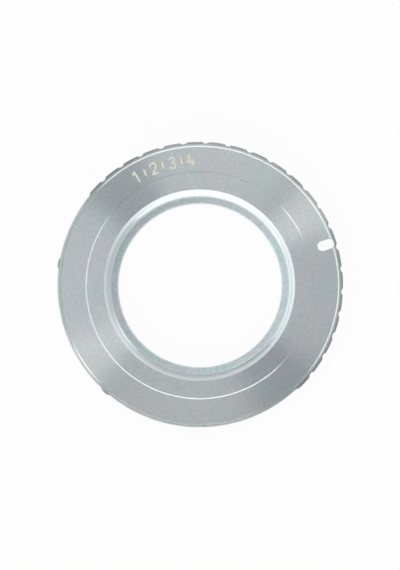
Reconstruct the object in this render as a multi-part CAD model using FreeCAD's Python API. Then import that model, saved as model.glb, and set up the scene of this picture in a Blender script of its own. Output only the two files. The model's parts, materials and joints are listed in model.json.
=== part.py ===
# Lens mount adapter: a turned metal ring that lets a lens with a 42 mm screw thread
# sit on a camera with a three-lug bayonet. It is one solid piece.
#
# Sizes are in millimetres and angles in degrees, anticlockwise from +X seen from the lens side.
# Z = 0 is the face that seats on the camera, +Z points to the lens, and the lock-pin slot is on +X.

import FreeCAD, Part
import math
import os

# Flange, between the lens seat and the camera seat
flange_thickness = 1.46         # 45.46 mm and 44.00 mm are the two systems' seat-to-film distances
rib_diameter = 65.0             # over the grip ribs
rib_height = 0.33               # ribs above the smooth stretches of the rim
rim_chamfer = 0.16
rim_land = 0.54                 # flat top of the rim, from its smooth stretches in to the hollow
hollow_depth = 0.2              # the face between the rim and the lens seat is turned this much lower
hollow_bevel = 0.26             # reach of the bevel on each side of the hollow
seat_width = 3.88               # lens seat, from the bore's chamfer out to the hollow

# Threaded bore and the inner flange that presses the lens's diaphragm pin
thread_diameter = 42.0
thread_pitch = 1.0
thread_depth_ratio = 1.0825     # ISO 68-1: basic thread, core diameter below nominal, per mm of pitch
bore_chamfer_reach = 0.67       # how far the chamfer opens beyond the thread's nominal diameter
bore_chamfer_angle = 48.0       # of the chamfer's slope, down from the lens seat
ledge_thickness = 1.0
ledge_width = 1.76              # inner flange, from the thread's core in to the opening
ledge_fillet = 0.3
ledge_edge_chamfer = 0.2

# Grip ribs round the rim
rib_count = 21
rib_pitch_angle = 9.0
first_rib_angle = -60.7         # middle of the first rib
flute_radius = 1.0
flute_depth = 0.35
lone_rib_angles = (153.6, 211.0)
lone_rib_width_angle = 2.8

# Lock-pin slot through the flange
slot_width = 2.26
slot_length = 3.8
slot_web = 0.27                 # metal left between the slot's outer end and the smooth rim

# Bayonet behind the camera seat
barrel_diameter = 50.6
barrel_depth = 4.4              # below the camera seat
barrel_chamfer = 0.4
lug_height = 1.45               # lugs stand out from the barrel by this much
lug_gap = 1.4                   # camera seat down to the top of the lugs
lug_thickness = 1.6
lug_chamfer = 0.3
lug_corner_radius = 0.6
lug_angles = (30.0, 150.0, 270.0)
lug_width_angle = 58.0
ramp_angle = 14.0               # stretch of each lug's leading end that is ramped
ramp_drop = 0.45
stop_width_angle = 5.0          # web that stops the turn, at the trailing end of the first lug
relief_depth = 0.3              # groove turned into the flange at the foot of the barrel
relief_clearance = 0.45         # groove reaches this far past the lugs

overcut = 1.0                   # cutters reach this far past the faces they cut

# Radii and heights that follow from the sizes above
rib_radius = rib_diameter / 2
rim_radius = rib_radius - rib_height
hollow_radius = rim_radius - rim_land
thread_radius = thread_diameter / 2
bore_radius = thread_radius - thread_depth_ratio * thread_pitch / 2
chamfer_radius = thread_radius + bore_chamfer_reach
seat_radius = chamfer_radius + seat_width
opening_radius = bore_radius - ledge_width
barrel_radius = barrel_diameter / 2
lug_radius = barrel_radius + lug_height
relief_radius = lug_radius + relief_clearance
hollow_z = flange_thickness - hollow_depth
ledge_z = ledge_thickness - barrel_depth
lug_top_z = -lug_gap
lug_bottom_z = lug_top_z - lug_thickness
axis_z = FreeCAD.Vector(0, 0, 1)
origin = FreeCAD.Vector(0, 0, 0)


def at(radius, z):
    """Point of a turned section, which lies in the XZ plane."""
    return FreeCAD.Vector(radius, 0, z)


def ring_sector(points, start, end):
    """Turn a closed section about Z from one angle to another."""
    face = Part.Face(Part.makePolygon(points + [points[0]]))
    solid = face.revolve(origin, axis_z, end - start)
    solid.rotate(origin, axis_z, start)
    return solid


def ledge_corner():
    """Fillet arc in the corner between the bore's wall and the inner flange."""
    centre = at(bore_radius - ledge_fillet, ledge_z + ledge_fillet)
    slant = ledge_fillet * math.sqrt(0.5)
    middle = centre + at(slant, -slant)
    return Part.Arc(at(bore_radius, centre.z), middle, at(centre.x, ledge_z)).toShape()


def turned_ring():
    """The lathe work: flange, rim at its full diameter, hollow, bore, inner flange and barrel."""
    chamfer_depth = (chamfer_radius - bore_radius) * math.tan(math.radians(bore_chamfer_angle))
    outside = [
        at(opening_radius, ledge_z - ledge_edge_chamfer),
        at(opening_radius, ledge_edge_chamfer - barrel_depth),
        at(opening_radius + ledge_edge_chamfer, -barrel_depth),
        at(barrel_radius - barrel_chamfer, -barrel_depth),
        at(barrel_radius, barrel_chamfer - barrel_depth),
        at(barrel_radius, relief_depth),
        at(relief_radius, relief_depth),
        at(relief_radius, 0),
        at(rib_radius - rim_chamfer, 0),
        at(rib_radius, rim_chamfer),
        at(rib_radius, flange_thickness - rim_chamfer),
        at(rib_radius - rim_chamfer, flange_thickness),
        at(hollow_radius, flange_thickness),
        at(hollow_radius - hollow_bevel, hollow_z),
        at(seat_radius + hollow_bevel, hollow_z),
        at(seat_radius, flange_thickness),
        at(chamfer_radius, flange_thickness),
        at(bore_radius, flange_thickness - chamfer_depth),
        at(bore_radius, ledge_z + ledge_fillet),
    ]
    ledge = [
        at(bore_radius - ledge_fillet, ledge_z),
        at(opening_radius + ledge_edge_chamfer, ledge_z),
        outside[0],
    ]
    section = Part.Wire(
        Part.makePolygon(outside).Edges + [ledge_corner()] + Part.makePolygon(ledge).Edges
    )
    return Part.Face(section).revolve(origin, axis_z, 360)


def flute_half_angle():
    """Half the angle that one flute takes up at the ribs' outer radius."""
    half_chord = math.sqrt(flute_depth * (2 * flute_radius - flute_depth))
    return math.degrees(math.asin(half_chord / rib_radius))


def rib_spans():
    """Start and end angle of every rib, in order round the rim."""
    half_grip = rib_pitch_angle / 2 - flute_half_angle()
    half_lone = lone_rib_width_angle / 2
    grip = [first_rib_angle + i * rib_pitch_angle for i in range(rib_count)]
    spans = [(a - half_grip, a + half_grip) for a in grip]
    return spans + [(a - half_lone, a + half_lone) for a in lone_rib_angles]


def flute(angle):
    """Round cutter that runs down the rim between two ribs."""
    distance = rib_radius - flute_depth + flute_radius
    height = flange_thickness + 2 * overcut
    cutter = Part.makeCylinder(flute_radius, height, at(distance, -overcut))
    cutter.rotate(origin, axis_z, angle)
    return cutter


def smooth_stretch(start, end):
    """What is turned off the rim where it has no ribs, with the rim's chamfers left on."""
    section = [
        at(rim_radius - rim_chamfer - overcut, -overcut),
        at(rim_radius - rim_chamfer, 0),
        at(rim_radius, rim_chamfer),
        at(rim_radius, flange_thickness - rim_chamfer),
        at(rim_radius - rim_chamfer, flange_thickness),
        at(rib_radius + overcut, flange_thickness + overcut),
        at(rib_radius + overcut, -overcut),
    ]
    return ring_sector(section, start, end)


def rim_cutters():
    """Flutes on both sides of every rib, and a smooth stretch in each wide gap."""
    spans = rib_spans()
    half_flute = flute_half_angle()
    followers = spans[1:] + [(spans[0][0] + 360, spans[0][1] + 360)]
    cutters = []
    for (_, end), (next_start, _) in zip(spans, followers):
        leaving = end + half_flute
        arriving = next_start - half_flute
        cutters.append(flute(leaving))
        if arriving - leaving > half_flute:
            cutters.append(smooth_stretch(leaving, arriving))
            cutters.append(flute(arriving))
    return cutters


def lock_slot():
    """Radial slot with round ends, where the camera's lock pin rises."""
    half_width = slot_width / 2
    outer = rim_radius - slot_web - half_width
    inner = outer - (slot_length - slot_width)
    corners = [(inner, -half_width), (outer, -half_width), (outer, half_width), (inner, half_width)]
    a, b, c, d = [FreeCAD.Vector(x, y, -overcut) for x, y in corners]
    outer_tip = FreeCAD.Vector(outer + half_width, 0, -overcut)
    inner_tip = FreeCAD.Vector(inner - half_width, 0, -overcut)
    edges = [
        Part.LineSegment(a, b).toShape(),
        Part.Arc(b, outer_tip, c).toShape(),
        Part.LineSegment(c, d).toShape(),
        Part.Arc(d, inner_tip, a).toShape(),
    ]
    height = flange_thickness + 2 * overcut
    return Part.Face(Part.Wire(edges)).extrude(axis_z * height)


def lug_ramp(leading_angle):
    """Wedge milled off the top of a lug's leading end, so that it slides in under the camera's lip."""
    length = lug_radius * math.radians(ramp_angle)
    slope = math.degrees(math.atan2(ramp_drop, length))
    inner_x = barrel_radius * math.cos(math.radians(ramp_angle)) - 2 * overcut
    wedge = Part.makeBox(lug_radius + overcut - inner_x, length + 2 * overcut, lug_gap)
    wedge.translate(FreeCAD.Vector(inner_x, -length - 2 * overcut, 0))
    wedge.rotate(origin, FreeCAD.Vector(1, 0, 0), slope)
    wedge.translate(FreeCAD.Vector(0, 0, lug_top_z))
    wedge.rotate(origin, axis_z, leading_angle + ramp_angle)
    return wedge


def lug(middle):
    """One bayonet lug. The ring locks by turning clockwise, so the lower angle leads."""
    start = middle - lug_width_angle / 2
    end = middle + lug_width_angle / 2
    root = barrel_radius - overcut
    section = [
        at(root, lug_bottom_z),
        at(lug_radius - lug_chamfer, lug_bottom_z),
        at(lug_radius, lug_bottom_z + lug_chamfer),
        at(lug_radius, lug_top_z),
        at(root, lug_top_z),
    ]
    solid = ring_sector(section, start, end)
    corners = [e for e in solid.Edges if is_outer_corner(e)]
    solid = solid.makeFillet(lug_corner_radius, corners)
    return solid.cut(lug_ramp(start))


def is_outer_corner(edge):
    """True for the upright edges at the outer corners of a lug."""
    ends = [v.Point for v in edge.Vertexes]
    reach = [math.hypot(p.x, p.y) for p in ends]
    upright = abs(ends[0].z - ends[-1].z) > lug_chamfer
    return upright and min(reach) > lug_radius - lug_chamfer / 2


def turn_stop():
    """Web between the flange and the trailing end of the first lug."""
    end = lug_angles[0] + lug_width_angle / 2
    root = barrel_radius - overcut
    reach = lug_radius - lug_corner_radius
    foot_z = lug_top_z - lug_thickness / 2
    head_z = (relief_depth + hollow_z) / 2
    section = [at(root, foot_z), at(reach, foot_z), at(reach, head_z), at(root, head_z)]
    return ring_sector(section, end - stop_width_angle, end)


def adapter_ring():
    ring = turned_ring().cut(rim_cutters() + [lock_slot()])
    ring = ring.fuse([lug(angle) for angle in lug_angles] + [turn_stop()])
    return ring.removeSplitter()


os.makedirs("parts", exist_ok=True)
ring = adapter_ring()
print("valid", ring.isValid(), "solids", len(ring.Solids), "volume mm3", round(ring.Volume, 1))
ring.Solids[0].exportStep("parts/adapter_ring.step")
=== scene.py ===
import json
import math

import bmesh
import bpy
from mathutils import Matrix, Vector


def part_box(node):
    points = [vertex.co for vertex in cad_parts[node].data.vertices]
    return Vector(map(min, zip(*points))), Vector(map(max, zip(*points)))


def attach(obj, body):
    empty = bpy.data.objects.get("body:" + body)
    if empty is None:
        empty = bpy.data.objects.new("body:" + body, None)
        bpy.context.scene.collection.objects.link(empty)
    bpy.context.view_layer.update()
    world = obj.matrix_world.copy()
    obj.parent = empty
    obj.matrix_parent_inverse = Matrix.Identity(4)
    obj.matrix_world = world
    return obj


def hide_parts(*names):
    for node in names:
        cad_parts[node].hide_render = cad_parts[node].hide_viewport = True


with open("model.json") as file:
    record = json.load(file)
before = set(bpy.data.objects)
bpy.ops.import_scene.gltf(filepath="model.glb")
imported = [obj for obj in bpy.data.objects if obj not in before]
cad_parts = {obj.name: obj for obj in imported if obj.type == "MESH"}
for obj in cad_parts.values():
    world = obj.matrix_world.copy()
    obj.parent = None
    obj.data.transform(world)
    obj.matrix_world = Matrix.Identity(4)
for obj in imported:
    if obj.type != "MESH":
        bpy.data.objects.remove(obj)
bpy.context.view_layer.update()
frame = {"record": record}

# Sizes are in metres, and angles in degrees anticlockwise from the lock-pin slot on +X, seen from above.
MM = 0.001
mounts = {m["name"]: m for m in frame["record"]["mounts"]}
low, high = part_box("adapter_ring")

# Turned ring
seat_z = high.z                         # lens seat, the highest face
base_z = low.z                          # bottom of the barrel, where the ring lies
rib_radius = high.x
rim_radius = -low.x
rim_chamfer = 0.16 * MM
hollow_z = seat_z - 0.2 * MM            # the marked face lies lower than the lens seat and the rim
hollow_bevel = 0.26 * MM
hollow_radius = rim_radius - 0.54 * MM
thread_radius = 21.0 * MM
core_radius = mounts["lens_thread"]["dims"]["r_mm"] * MM
chamfer_radius = thread_radius + 0.67 * MM
chamfer_slope = math.tan(math.radians(48))
seat_radius = chamfer_radius + 3.88 * MM
ledge_z = base_z + 1.0 * MM
ledge_fillet = 0.3 * MM
opening_radius = core_radius - 1.76 * MM  # of the inner flange at the bore's foot
opening_chamfer = 0.2 * MM
barrel_radius = 25.3 * MM
barrel_chamfer = 0.4 * MM
edge_round = 0.05 * MM                  # broken edges where the drawing has none
crisp_round = 0.02 * MM                 # edges of the cuts made last, on the lens side
thread_foot = ledge_z + 2 * ledge_fillet

# Grip ribs
rib_pitch = 9.0
rib_count = 21
first_rib = -60.7
lone_ribs = (153.6, 211.0)
lone_rib_width = 2.8
flute_radius = 1.0 * MM
flute_depth = 0.35 * MM
rib_corner = 0.09 * MM
corner_drop = rib_corner / 2            # how much lower a rib's rounded corner ends

# Bayonet lugs, relief groove and stop
lug_radius = barrel_radius + 1.45 * MM
lug_top_z = -1.4 * MM
lug_bottom_z = lug_top_z - 1.6 * MM
lug_chamfer = 0.3 * MM
lug_corner = 0.6 * MM
lug_middles = (30.0, 150.0, 270.0)
lug_width = 58.0
ramp_width = 14.0
ramp_drop = 0.45 * MM
stop_width = 5.0
relief_z = 0.3 * MM
relief_radius = lug_radius + 0.45 * MM

# Lock-pin slot
slot_half_width = 1.13 * MM
slot_outer = rim_radius - 0.27 * MM
slot_inner = slot_outer - 3.8 * MM
slot_mouth = 0.07 * MM                  # break of the slot's upper edge
overcut = 1 * MM                        # cutters reach this far past the faces they cut

# Lens thread
thread_pitch = 1.0 * MM
thread_crest, thread_root = 0.25, 0.125 # flats of the thread, as shares of the pitch
thread_runout = 0.6 * MM                # height over which the thread grows from its foot
thread_start = 186.0                    # angle that sets where the groove cuts the bore's chamfer
seam_radius = thread_radius + 0.06 * MM # where the ring's own chamfer meets the thread's
seam_z = seat_z - (chamfer_radius - seam_radius) * chamfer_slope

# Engraved scale
scale_middle = 89.4
scale_step = 4.4
scale_count = 7                         # figures and the short lines between them
scale_line_half = 0.25                  # half a short line, as a share of the figures' height
scale_radius = 28.4 * MM
figure_height = 2.9 * MM
stroke_width = 0.45 * MM
engraving_depth = 0.09 * MM
fill_below_face = 0.025 * MM

# How finely the curves are cut up: angles in degrees, and counts
station_step = 0.75                     # of the ring's sections
station_gap = 0.02                      # between a step in the outline and the section beside it
flute_steps = 5
lug_round_shares = (0.0, 0.1, 0.25, 0.5, 0.75, 1.0)
fillet_steps, break_steps = 6, 2        # across a rounded corner, and across a broken edge
corner_share = 0.45                     # a corner's round takes this share of a stretch at most
slot_end_steps = 12                     # in a quarter circle
arc_step = 15                           # of the figures' curves
stroke_end_turns = (-60, -30, 0, 30, 60) # points round the end of a cutter's stroke
thread_rows, thread_columns = 16, 360   # in one pitch and in one turn
weld_distance, sliver = 1e-7, 1e-8      # metres
ring_sharp, thread_sharp = 8, 25        # edges that turn by more than this stay sharp

# Plating: linear colours of its cool and warm patches and of its bright spots
face_plating = ((0.64, 0.74, 0.75), (0.70, 0.715, 0.745), (0.75, 0.80, 0.82))
bore_plating = ((0.70, 0.80, 0.81), (0.76, 0.78, 0.80), (0.83, 0.88, 0.89))

# Finishes: roughness, share of the gloss that the grooves stretch, plating, and colour of the bevels.
# The chamfer, wall and inner flange of the bore are less finely turned than the face and the thread.
face_finish = (0.31, 1.0, face_plating, (0.89, 0.93, 0.94))
chamfer_finish = (0.6, 0.5, bore_plating, (0.96, 0.99, 1.0))
thread_finish = (0.3, 0.6, bore_plating, (0.82, 0.89, 0.90))
bore_finish = (0.7, 0.4, bore_plating, (0.82, 0.89, 0.90))

# Marks on the metal. Ranges are of a noise from 0 to 1, or of how far up the surface looks.
groove_turn = 0.25                      # of a turn, which stretches the gloss across the grooves
groove_length = 17 * MM
groove_width = 0.5 * MM
groove_depth = 0.004 * MM
groove_detail = 3.0                     # layers of finer noise
mottle_size = 0.6 * MM
mottle_depth = 0.004 * MM
mottle_detail = 2.0
mottle_range = (0.35, 0.75)             # from the plating's patches to its bright spots
drift_size = 8 * MM
drift_detail = 1.0
drift_range = (0.35, 0.65)              # from cool patches to warm ones
wall_range = (0.1, 0.3)                 # from upright walls to bevels, where cut metal shows
level_range = (0.88, 0.97)              # from bevels to level faces, where the plating is back
# Painted shade: the rim's outer edge is coloured darker, in place of the shadowed floor that it reflects
rim_shade_fade = 0.38 * MM
rim_shade_colour = (0.49, 0.50, 0.51)

# Paint in the engraving
paint_roughness = 0.6
paint_grain = 0.35 * MM
paint_relief = 0.01 * MM
paint_detail = 2.0
paint_range = (0.35, 0.65)              # from thin paint to full paint
paint_thin = (0.75, 0.71, 0.60)
paint_full = (0.86, 0.83, 0.73)

# Floor
floor_half_width = 3.0
floor_gap = 0.02 * MM                   # the floor lies this far below the ring's lowest face
floor_colour = (0.9, 0.9, 0.9)
floor_roughness = 0.9
floor_glow = 0.94                       # share of the floor that reads plain white

# Soft boxes round the ring: azimuths in the picture, elevations, level (1 for white) and tint
box_distance = 1.5                      # from the ring's axis
plain = (1.0, 1.0, 1.0)
bluish = (0.91, 0.98, 1.0)
warm = (1.0, 0.96, 0.92)
soft_boxes = (
    (143, 205, 2, 52, 0.85, bluish),
    (205, 223, 2, 76, 1.15, warm),
    (223, 314, 0, 44, 1.55, plain),
    (314, 28, 20, 50, 0.65, bluish),
    (28, 46, 12, 56, 1.5, plain),
    (28, 54, 56, 76, 0.95, plain),
    (54, 115, 50, 70, 2.75, plain),
    (115, 143, 50, 71, 1.4, bluish),
    (143, 205, 54, 73, 2.2, plain),
)
room_level = 0.16                       # of the even light from all round

# The photograph's view: its scale at the lens seat and how the camera leans
photo_height = 570                      # pixels
pixels_per_metre = 4418.0
photo_turn = 17.6                       # the slot stands this far above the picture's horizontal
photo_distance = 450 * MM
sensor_width = 36                       # millimetres, as Blender takes it
lean_right = 0.0268                     # the camera stands this far right of and below the axis,
lean_down = 0.0247                      # as shares of its distance
aim_right = 0.16 * MM
aim_up = 0.02 * MM
nearest_seen = 10 * MM                  # the camera leaves out what is nearer


# Shape helpers

def polar(radius, angle, z):
    """Point at a radius and an angle in degrees."""
    t = math.radians(angle)
    return (radius * math.cos(t), radius * math.sin(t), z)


def softened(corners):
    """Closed section with its corners rounded, by edge_round or by a corner's own third number."""
    out = []
    count = len(corners)
    for i, (r, z, *own) in enumerate(corners):
        corner = Vector((r, z))
        back = Vector(corners[i - 1][:2]) - corner
        ahead = Vector(corners[(i + 1) % count][:2]) - corner
        wanted = own[0] if own else edge_round
        reach = min(wanted, back.length * corner_share, ahead.length * corner_share)
        steps = fillet_steps if wanted > edge_round else break_steps
        start = corner + back.normalized() * reach
        end = corner + ahead.normalized() * reach
        for step in range(steps + 1):
            t = step / steps
            point = start * (1 - t) ** 2 + corner * 2 * t * (1 - t) + end * t ** 2
            out.append(tuple(point))
    return out


def swept_ring(name, stations, section):
    """Closed ring through section(angle) at every station angle."""
    loops = [section(angle) for angle in stations]
    count = len(loops[0])
    verts = [polar(r, a, z) for a, loop in zip(stations, loops) for r, z in loop]
    faces = []
    for i in range(len(stations)):
        this, following = i * count, ((i + 1) % len(stations)) * count
        for j in range(count):
            k = (j + 1) % count
            faces.append((this + j, following + j, following + k, this + k))
    return make_mesh(name, verts, faces)


def make_mesh(name, verts, faces):
    """New object in the scene, with its mesh welded."""
    mesh = bpy.data.meshes.new(name)
    mesh.from_pydata(verts, [], faces)
    weld(mesh)
    obj = bpy.data.objects.new(name, mesh)
    bpy.context.scene.collection.objects.link(obj)
    return obj


def weld(mesh):
    """Joins points that coincide and turns all faces outwards."""
    bm = bmesh.new()
    bm.from_mesh(mesh)
    bmesh.ops.remove_doubles(bm, verts=bm.verts, dist=weld_distance)
    bmesh.ops.dissolve_degenerate(bm, edges=bm.edges, dist=sliver)
    bmesh.ops.recalc_face_normals(bm, faces=bm.faces)
    bm.to_mesh(mesh)
    bm.free()


def prism(name, outline, z0, z1, top=None):
    """Solid over a flat outline of (x, y) points, upright or leading to another outline on top."""
    count = len(outline)
    verts = [(x, y, z0) for x, y in outline] + [(x, y, z1) for x, y in top or outline]
    sides = [(i, (i + 1) % count, (i + 1) % count + count, i + count) for i in range(count)]
    return make_mesh(name, verts, [tuple(range(count)), tuple(range(count, 2 * count))] + sides)


def combine(obj, others, operation):
    """Adds the other solids to the object, or takes them away from it, and removes them."""
    for other in others:
        mod = obj.modifiers.new("combine", "BOOLEAN")
        mod.object = other
        mod.operation = operation
        mod.solver = "EXACT"
    bake(obj)
    for other in others:
        bpy.data.objects.remove(other, do_unlink=True)


def bake(obj):
    """Applies the object's modifiers to its mesh."""
    graph = bpy.context.evaluated_depsgraph_get()
    mesh = bpy.data.meshes.new_from_object(obj.evaluated_get(graph))
    obj.modifiers.clear()
    obj.data = mesh


def smooth(obj, sharp_angle):
    """Smooth shading, but edges that turn by more than the angle stay sharp, so flat faces stay flat."""
    obj.data.shade_smooth()
    obj.data.set_sharp_from_angle(angle=math.radians(sharp_angle))


# Rim and bayonet as functions of the angle

def flute_half_angle():
    """Half the angle that one flute takes up at the ribs' outer radius."""
    half_chord = math.sqrt(flute_depth * (2 * flute_radius - flute_depth))
    return math.degrees(math.asin(half_chord / rib_radius))


def rib_spans():
    """Start and end angle of every rib."""
    half = rib_pitch / 2 - flute_half_angle()
    grip = [first_rib + i * rib_pitch for i in range(rib_count)]
    spans = [(a - half, a + half) for a in grip]
    return spans + [(a - lone_rib_width / 2, a + lone_rib_width / 2) for a in lone_ribs]


def turn(angle, reference):
    """Angle measured from a reference, between -180 and 180."""
    return (angle - reference + 180) % 360 - 180


def rim_reach(angle):
    """Outer radius of the rim at an angle: rib, flute or smooth stretch."""
    half_flute = flute_half_angle()
    centre = rib_radius - flute_depth + flute_radius
    corner = math.degrees(rib_corner / rib_radius)
    for start, end in rib_spans():
        half = (end - start) / 2
        off = abs(turn(angle, (start + end) / 2)) - half
        if off <= -corner:
            return rib_radius
        if off <= 0:
            return rib_radius - corner_drop * (1 + off / corner) ** 2
        if off <= half_flute:
            t = math.radians(half_flute - off)
            half_chord = math.sqrt(flute_radius ** 2 - (centre * math.sin(t)) ** 2)
            return min(centre * math.cos(t) - half_chord, rib_radius - corner_drop)
    return rim_radius


def lug_state(angle):
    """(radius, top) of the bayonet at an angle, on the barrel where there is no lug."""
    half = lug_width / 2
    for middle in lug_middles:
        off = turn(angle, middle)
        if abs(off) > half:
            continue
        from_end = (half - abs(off)) * math.radians(1) * lug_radius
        corner = max(lug_corner - from_end, 0)
        reach = lug_radius - lug_corner + math.sqrt(lug_corner ** 2 - corner ** 2)
        ramp = max(0.0, (ramp_width - half - off) / ramp_width)
        return reach, lug_top_z - ramp_drop * ramp
    return barrel_radius, lug_top_z


def has_stop(angle):
    """True where the web that stops the turn fills the gap over the first lug."""
    end = lug_middles[0] + lug_width / 2
    return -stop_width <= turn(angle, end) <= 0


def station(angle):
    """Angle from 0 to 360, rounded so that stations that coincide are one."""
    return round(angle % 360, 3)


def station_angles():
    """Even steps, with more stations where the rim or the bayonet turns a corner."""
    angles = set(station(station_step * i) for i in range(round(360 / station_step)))
    half_flute = flute_half_angle()
    corner = math.degrees(rib_corner / rib_radius)
    offsets = [-corner, -corner / 2, -station_gap, station_gap]
    offsets += [half_flute * i / flute_steps for i in range(1, flute_steps + 1)]
    offsets.append(half_flute + station_gap)
    for start, end in rib_spans():
        angles.update(station(start - offset) for offset in offsets)
        angles.update(station(end + offset) for offset in offsets)
    lug_round = math.degrees(lug_corner / lug_radius)
    for middle in lug_middles:
        for side in (-1, 1):
            end = middle + side * lug_width / 2
            angles.update(station(end - side * lug_round * share) for share in lug_round_shares)
            angles.add(station(end + side * station_gap))
    stop_start = lug_middles[0] + lug_width / 2 - stop_width
    angles.update((station(stop_start - station_gap), station(stop_start)))
    return sorted(angles)


def ring_section(angle):
    """Section of the ring at one angle, from the opening's lower edge round the outside."""
    reach = rim_reach(angle)
    lug_reach, lug_top = lug_state(angle)
    chamfer = min(lug_chamfer, max(lug_reach - barrel_radius, 0) / 2)
    gap_foot = max(lug_reach - lug_corner, barrel_radius) if has_stop(angle) else barrel_radius
    return softened([
        (opening_radius, base_z + opening_chamfer),
        (opening_radius + opening_chamfer, base_z),
        (barrel_radius - barrel_chamfer, base_z),
        (barrel_radius, base_z + barrel_chamfer),
        (barrel_radius, lug_bottom_z),
        (lug_reach - chamfer, lug_bottom_z),
        (lug_reach, lug_bottom_z + chamfer),
        (lug_reach, lug_top),
        (gap_foot, lug_top),
        (gap_foot, relief_z),
        (relief_radius, relief_z),
        (relief_radius, 0),
        (reach - rim_chamfer, 0),
        (reach, rim_chamfer),
        (reach, seat_z - rim_chamfer),
        (reach - rim_chamfer, seat_z),
        (hollow_radius, seat_z, crisp_round),
        (hollow_radius - hollow_bevel, hollow_z, crisp_round),
        (seat_radius + hollow_bevel, hollow_z, crisp_round),
        (seat_radius, seat_z, crisp_round),
        (chamfer_radius, seat_z, crisp_round),
        (seam_radius, seam_z, 0),
        (seam_radius, thread_foot, 0),
        (core_radius, thread_foot, 0),
        (core_radius, ledge_z, ledge_fillet),
        (opening_radius + opening_chamfer, ledge_z),
        (opening_radius, ledge_z - opening_chamfer),
    ])


def slot_outline(spread):
    """Stadium outline of the lock-pin slot, grown by a spread."""
    half = slot_half_width
    outer, inner = slot_outer - half, slot_inner + half
    reach = half + spread
    turns = [math.radians(90 * i / slot_end_steps) for i in range(-slot_end_steps, slot_end_steps + 1)]
    tip = [(outer + reach * math.cos(t), reach * math.sin(t)) for t in turns]
    tail = [(inner - reach * math.cos(t), -reach * math.sin(t)) for t in turns]
    return tip + tail


def slot_cutters():
    """The slot itself, and the break of its upper edge."""
    straight = slot_outline(0)
    spread = slot_outline(slot_mouth + overcut)
    return [
        prism("slot_cut", straight, -overcut, seat_z + overcut),
        prism("mouth_cut", straight, seat_z - slot_mouth, seat_z + overcut, spread),
    ]


# Engraved scale: plain numbers with a short line between each two

def line(*points):
    """Path through points, straight from each to the next."""
    return [Vector(point) for point in points]


def arc(x, y, radius, start, end):
    """Path along an arc between two angles."""
    steps = round(abs(end - start) / arc_step)
    turns = [math.radians(start + (end - start) * i / steps) for i in range(steps + 1)]
    return [Vector((x + radius * math.cos(t), y + radius * math.sin(t))) for t in turns]


def figure_paths(number):
    """Paths of an engraver's cutter for a number that is 1 high, about its middle."""
    return {
        1: [line((-0.18, 0.3), (0.06, 0.5)), line((0.06, 0.5), (0.06, -0.5))],
        2: [arc(0, 0.23, 0.27, 165, -35) + line((-0.28, -0.5)), line((-0.28, -0.5), (0.28, -0.5))],
        3: [arc(0, 0.25, 0.25, 155, -90), arc(0, -0.24, 0.26, 90, -155)],
        4: [line((-0.1, 0.5), (-0.3, -0.16)), line((-0.3, -0.16), (0.3, -0.16)),
            line((0.12, 0.12), (0.12, -0.5))],
    }[number]


def cutter_outline(path, half):
    """Outline that a round cutter of a half width leaves along a path."""
    outline = []
    for points in (path, path[::-1]):
        last = len(points) - 1
        for i, point in enumerate(points):
            way = (points[min(i + 1, last)] - points[max(i - 1, 0)]).normalized()
            outline.append(point + Vector((way.y, -way.x)) * half)
        for end_turn in stroke_end_turns:
            t = math.radians(end_turn)
            c, s = math.cos(t), math.sin(t)
            outline.append(points[-1] + Vector((way.x * c - way.y * s, way.x * s + way.y * c)) * half)
    return outline


def mark(paths, angle, z0, z1, name):
    """Paths engraved upright at an angle, head towards the rim, as one solid from z0 to z1."""
    size = figure_height - stroke_width
    t = math.radians(angle - 90)
    c, s = math.cos(t), math.sin(t)
    solids = []
    for path in paths:
        placed_path = [point * size + Vector((0, scale_radius)) for point in path]
        upright = cutter_outline(placed_path, stroke_width / 2)
        turned = [(x * c - y * s, x * s + y * c) for x, y in upright]
        solids.append(prism(name, turned, z0, z1))
    combine(solids[0], solids[1:], "UNION")
    return solids[0]


def scale_marks(z0, z1, name):
    """The marks of the scale, from left to right: 1 | 2 | 3 | 4."""
    short_line = [line((0, scale_line_half), (0, -scale_line_half))]
    marks = []
    for i in range(scale_count):
        paths = short_line if i % 2 else figure_paths(i // 2 + 1)
        angle = scale_middle + scale_step * (scale_count // 2 - i)
        marks.append(mark(paths, angle, z0, z1, f"{name}_{i}"))
    return marks


# Lens thread

def thread_profile(phase):
    """Depth of the thread's groove at a share of the pitch: 0 on the crest and 1 at the root."""
    flank = (1 - thread_crest - thread_root) / 2
    if phase < thread_crest:
        return 0.0
    if phase < thread_crest + flank:
        return (phase - thread_crest) / flank
    if phase < thread_crest + flank + thread_root:
        return 1.0
    return (1 - phase) / flank


def lens_thread():
    """Right-handed internal thread, from the bore's chamfer down to the inner flange."""
    lowest = thread_foot - thread_pitch * (1 + thread_start / 360)
    rows = int((seam_z - lowest) / thread_pitch * thread_rows) + 2
    depth = thread_radius - core_radius
    verts, faces = [], []
    for row in range(rows + 1):
        groove = depth * thread_profile(row / thread_rows % 1)
        for column in range(thread_columns + 1):
            turns = column / thread_columns
            z = lowest + thread_pitch * (row / thread_rows + turns)
            grown = min(max((z - thread_foot) / thread_runout, 0), 1)
            radius = max(core_radius + groove * grown, chamfer_radius - (seat_z - z) / chamfer_slope)
            if z > seam_z:
                z, radius = seam_z, seam_radius
            verts.append(polar(radius, 360 * turns, max(z, thread_foot)))
    width = thread_columns + 1
    for row in range(rows):
        for column in range(thread_columns):
            i = row * width + column
            faces.append((i, i + width, i + width + 1, i + 1))
    return make_mesh("lens_thread", verts, faces)


# Materials

def node_tree(name):
    """New material with its nodes and links."""
    material = bpy.data.materials.new(name)
    material.use_nodes = True
    return material, material.node_tree.nodes, material.node_tree.links


def worked(nodes, links, operation, *inputs):
    """Result of a math node fed by sockets and numbers."""
    node = nodes.new("ShaderNodeMath")
    node.operation = operation
    for socket, value in zip(node.inputs, inputs):
        if isinstance(value, (int, float)):
            socket.default_value = value
        else:
            links.new(value, socket)
    return node.outputs["Value"]


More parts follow.
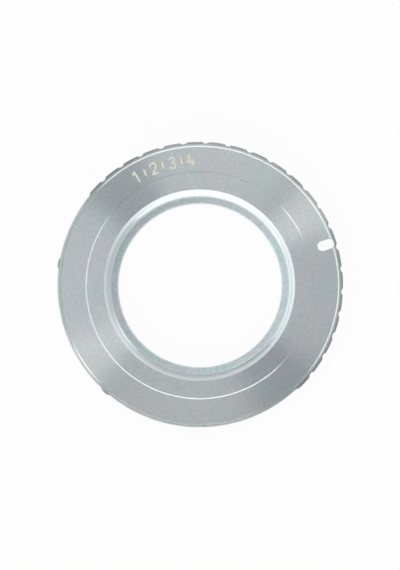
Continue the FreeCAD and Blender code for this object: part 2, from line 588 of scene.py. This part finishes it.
def axis_distance(nodes, links, place):
    """Distance from the ring's axis, in metres."""
    split = nodes.new("ShaderNodeSeparateXYZ")
    links.new(place, split.inputs["Vector"])
    x, y = split.outputs["X"], split.outputs["Y"]
    squares = [worked(nodes, links, "MULTIPLY", side, side) for side in (x, y)]
    return worked(nodes, links, "SQRT", worked(nodes, links, "ADD", *squares))


def bevel_share(nodes, links):
    """Share of bare cut metal: 1 on the bevels that look up, and 0 on level faces and upright walls."""
    split = nodes.new("ShaderNodeSeparateXYZ")
    links.new(nodes.new("ShaderNodeTexCoord").outputs["Normal"], split.inputs["Vector"])
    leaning = rise(nodes, links, split.outputs["Z"], wall_range)
    level = rise(nodes, links, split.outputs["Z"], level_range)
    return worked(nodes, links, "SUBTRACT", leaning, level)


def noise(nodes, links, place, size, detail, along=None):
    """Noise from 0 to 1 whose largest lumps are a size in metres, cut up along an axis if one is given."""
    node = nodes.new("ShaderNodeTexNoise")
    node.inputs["Scale"].default_value = 1 / size
    node.inputs["Detail"].default_value = detail
    links.new(place, node.inputs["Vector"])
    if along is not None:
        node.noise_dimensions = "4D"
        links.new(along, node.inputs["W"])
    return node.outputs["Fac"]


def blended(nodes, links, share, first, second):
    """Colour between two colours or sockets, by a share from 0 to 1."""
    node = nodes.new("ShaderNodeMix")
    node.data_type = "RGBA"
    links.new(share, node.inputs["Factor"])
    for socket, colour in (("A_Color", first), ("B_Color", second)):
        target = next(i for i in node.inputs if i.identifier == socket)
        if isinstance(colour, tuple):
            target.default_value = colour + (1,)
        else:
            links.new(colour, target)
    return next(o for o in node.outputs if o.identifier == "Result_Color")


def rise(nodes, links, value, limits):
    """Share that grows smoothly from 0 at the first limit to 1 at the second."""
    node = nodes.new("ShaderNodeMapRange")
    node.interpolation_type = "SMOOTHSTEP"
    node.inputs["From Min"].default_value, node.inputs["From Max"].default_value = limits
    links.new(value, node.inputs["Value"])
    return node.outputs["Result"]


def bumped(nodes, links, height, depth, normal=None):
    """Normal tilted by a height from 0 to 1 that stands for a depth in metres."""
    node = nodes.new("ShaderNodeBump")
    node.inputs["Distance"].default_value = depth
    links.new(height, node.inputs["Height"])
    if normal is not None:
        links.new(normal, node.inputs["Normal"])
    return node.outputs["Normal"]


def turned_metal(name, roughness, grooved, plating, cut):
    """Satin plated metal off the lathe: fine circular grooves, a soft mottle, and painted shade that
    darkens the rim's outer edge.
    """
    cool, warm, bright = plating
    material, nodes, links = node_tree(name)
    bsdf = nodes["Principled BSDF"]
    bsdf.inputs["Metallic"].default_value = 1.0
    bsdf.inputs["Roughness"].default_value = roughness
    bsdf.inputs["Anisotropic"].default_value = grooved
    bsdf.inputs["Anisotropic Rotation"].default_value = groove_turn
    tangent = nodes.new("ShaderNodeTangent")
    tangent.direction_type = "RADIAL"
    tangent.axis = "Z"
    links.new(tangent.outputs["Tangent"], bsdf.inputs["Tangent"])

    place = nodes.new("ShaderNodeTexCoord").outputs["Object"]
    radius = axis_distance(nodes, links, place)
    streaks = worked(nodes, links, "MULTIPLY", radius, groove_length / groove_width)
    grooves = noise(nodes, links, place, groove_length, groove_detail, streaks)
    mottle = noise(nodes, links, place, mottle_size, mottle_detail)
    drift = noise(nodes, links, place, drift_size, drift_detail)

    drifting = blended(nodes, links, rise(nodes, links, drift, drift_range), cool, warm)
    cloudy = blended(nodes, links, rise(nodes, links, mottle, mottle_range), drifting, bright)
    faces = blended(nodes, links, bevel_share(nodes, links), cloudy, cut)
    # Painted shade: the colour darkens over the last stretch out to the rim
    grip = rise(nodes, links, radius, (rim_radius - rim_shade_fade, rim_radius))
    links.new(blended(nodes, links, grip, faces, rim_shade_colour), bsdf.inputs["Base Color"])
    relief = bumped(nodes, links, mottle, mottle_depth)
    links.new(bumped(nodes, links, grooves, groove_depth, relief), bsdf.inputs["Normal"])
    return material


def cream_paint():
    """Matt paint wiped into the engraving, a little uneven."""
    material, nodes, links = node_tree("cream_paint")
    bsdf = nodes["Principled BSDF"]
    bsdf.inputs["Roughness"].default_value = paint_roughness
    place = nodes.new("ShaderNodeTexCoord").outputs["Object"]
    patches = noise(nodes, links, place, paint_grain, paint_detail)
    colour = blended(nodes, links, rise(nodes, links, patches, paint_range), paint_thin, paint_full)
    links.new(colour, bsdf.inputs["Base Color"])
    links.new(bumped(nodes, links, patches, paint_relief), bsdf.inputs["Normal"])
    return material


def floor_paper():
    """Pale floor that reads white in the camera's view and keeps a soft shadow."""
    material, nodes, links = node_tree("floor_paper")
    bsdf = nodes["Principled BSDF"]
    bsdf.inputs["Base Color"].default_value = floor_colour + (1,)
    bsdf.inputs["Roughness"].default_value = floor_roughness
    bsdf.inputs["Specular IOR Level"].default_value = 0.0
    glow = nodes.new("ShaderNodeEmission")
    mix = nodes.new("ShaderNodeMixShader")
    rays = nodes.new("ShaderNodeLightPath")
    seen = rays.outputs["Is Camera Ray"]
    for kind in ("Is Glossy Ray", "Is Transmission Ray"):
        seen = worked(nodes, links, "MAXIMUM", seen, rays.outputs[kind])
    links.new(worked(nodes, links, "MULTIPLY", seen, floor_glow), mix.inputs["Fac"])
    links.new(bsdf.outputs["BSDF"], mix.inputs[1])
    links.new(glow.outputs["Emission"], mix.inputs[2])
    links.new(mix.outputs["Shader"], nodes["Material Output"].inputs["Surface"])
    return material


# Camera, floor and lights

def photo_axes():
    """The picture's right and up directions on the lens seat."""
    t = math.radians(-photo_turn)
    return Vector((math.cos(t), math.sin(t), 0)), Vector((-math.sin(t), math.cos(t), 0))


def placed(data, position, back, up):
    """Camera or lamp at a position, facing away from back, with its top towards up."""
    side = up.cross(back).normalized()
    axes = Matrix((side, back.cross(side), back)).transposed()
    obj = bpy.data.objects.new(data.name, data)
    obj.matrix_world = Matrix.Translation(position) @ axes.to_4x4()
    bpy.context.scene.collection.objects.link(obj)
    return obj


def add_camera():
    """Camera at the photograph's angle. The sensor's width spans the height of the upright picture."""
    right, up = photo_axes()
    aim = right * aim_right + up * aim_up + Vector((0, 0, seat_z))
    towards = (right * lean_right - up * lean_down + Vector((0, 0, 1))).normalized()
    data = bpy.data.cameras.new("camera")
    data.sensor_fit = "AUTO"
    data.sensor_width = sensor_width
    frame_height = photo_height / pixels_per_metre
    data.lens = data.sensor_width * photo_distance / frame_height
    data.clip_start = nearest_seen
    bpy.context.scene.camera = placed(data, aim + towards * photo_distance, towards, up)


def add_floor():
    """Floor that the ring lies on, which is no piece of it."""
    half, z = floor_half_width, base_z - floor_gap
    corners = [(-half, -half, z), (half, -half, z), (half, half, z), (-half, half, z)]
    floor = make_mesh("floor", corners, [(0, 1, 2, 3)])
    floor.data.materials.append(floor_paper())


def add_soft_box(start, end, bottom, top, level, tint):
    """Upright soft box between two azimuths, from the picture's right, and two elevations."""
    half_turn = (end - start) % 360 / 2
    t = math.radians(start + half_turn - photo_turn)
    width = 2 * box_distance * math.tan(math.radians(half_turn))
    z0, z1 = (base_z + box_distance * math.tan(math.radians(e)) for e in (bottom, top))
    data = bpy.data.lights.new("soft_box", "AREA")
    data.shape = "RECTANGLE"
    data.color = tint
    data.size, data.size_y = width, z1 - z0
    data.energy = level * math.pi * data.size * data.size_y
    way, up = Vector((math.cos(t), math.sin(t), 0)), Vector((0, 0, 1))
    lamp = placed(data, way * box_distance + up * (z0 + z1) / 2, way, up)
    lamp.visible_camera = False


def add_world(level):
    """Even white light from all round."""
    world = bpy.data.worlds.new("studio")
    world.use_nodes = True
    world.node_tree.nodes["Background"].inputs["Color"].default_value = (1, 1, 1, 1)
    world.node_tree.nodes["Background"].inputs["Strength"].default_value = level
    bpy.context.scene.world = world


def line_bore(ring, chamfer_metal, bore_metal):
    """Gives the bore's chamfer, and its wall and inner flange, their own finishes."""
    ring.data.materials.append(chamfer_metal)
    ring.data.materials.append(bore_metal)
    for face in ring.data.polygons:
        x, y, z = face.center
        radius = math.hypot(x, y)
        if radius < chamfer_radius and z > ledge_z - opening_chamfer:
            face.material_index = 1 if radius > seam_radius else 2


def finish_piece(obj, material):
    """Gives a piece its material and slot, and fixes it to the ring's body."""
    obj.data.materials.clear()
    obj.data.materials.append(material)
    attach(obj, "root")


def build():
    """The whole scene: view, floor, ring with its thread and paint, and lights."""
    add_camera()
    add_floor()
    ring = swept_ring("turned_ring", station_angles(), ring_section)
    engraving = scale_marks(hollow_z - engraving_depth, seat_z, "engraving")
    combine(ring, slot_cutters() + engraving, "DIFFERENCE")
    smooth(ring, ring_sharp)
    thread = lens_thread()
    smooth(thread, thread_sharp)
    finish_piece(ring, turned_metal("turned_metal", *face_finish))
    chamfer_metal = turned_metal("chamfer_metal", *chamfer_finish)
    line_bore(ring, chamfer_metal, turned_metal("bore_metal", *bore_finish))
    finish_piece(thread, turned_metal("thread_metal", *thread_finish))
    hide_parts("adapter_ring")
    paint = cream_paint()
    for solid in scale_marks(hollow_z - engraving_depth, hollow_z - fill_below_face, "scale_mark"):
        finish_piece(solid, paint)
    for box in soft_boxes:
        add_soft_box(*box)
    add_world(room_level)


build()
bpy.context.scene.view_settings.view_transform = "Standard"
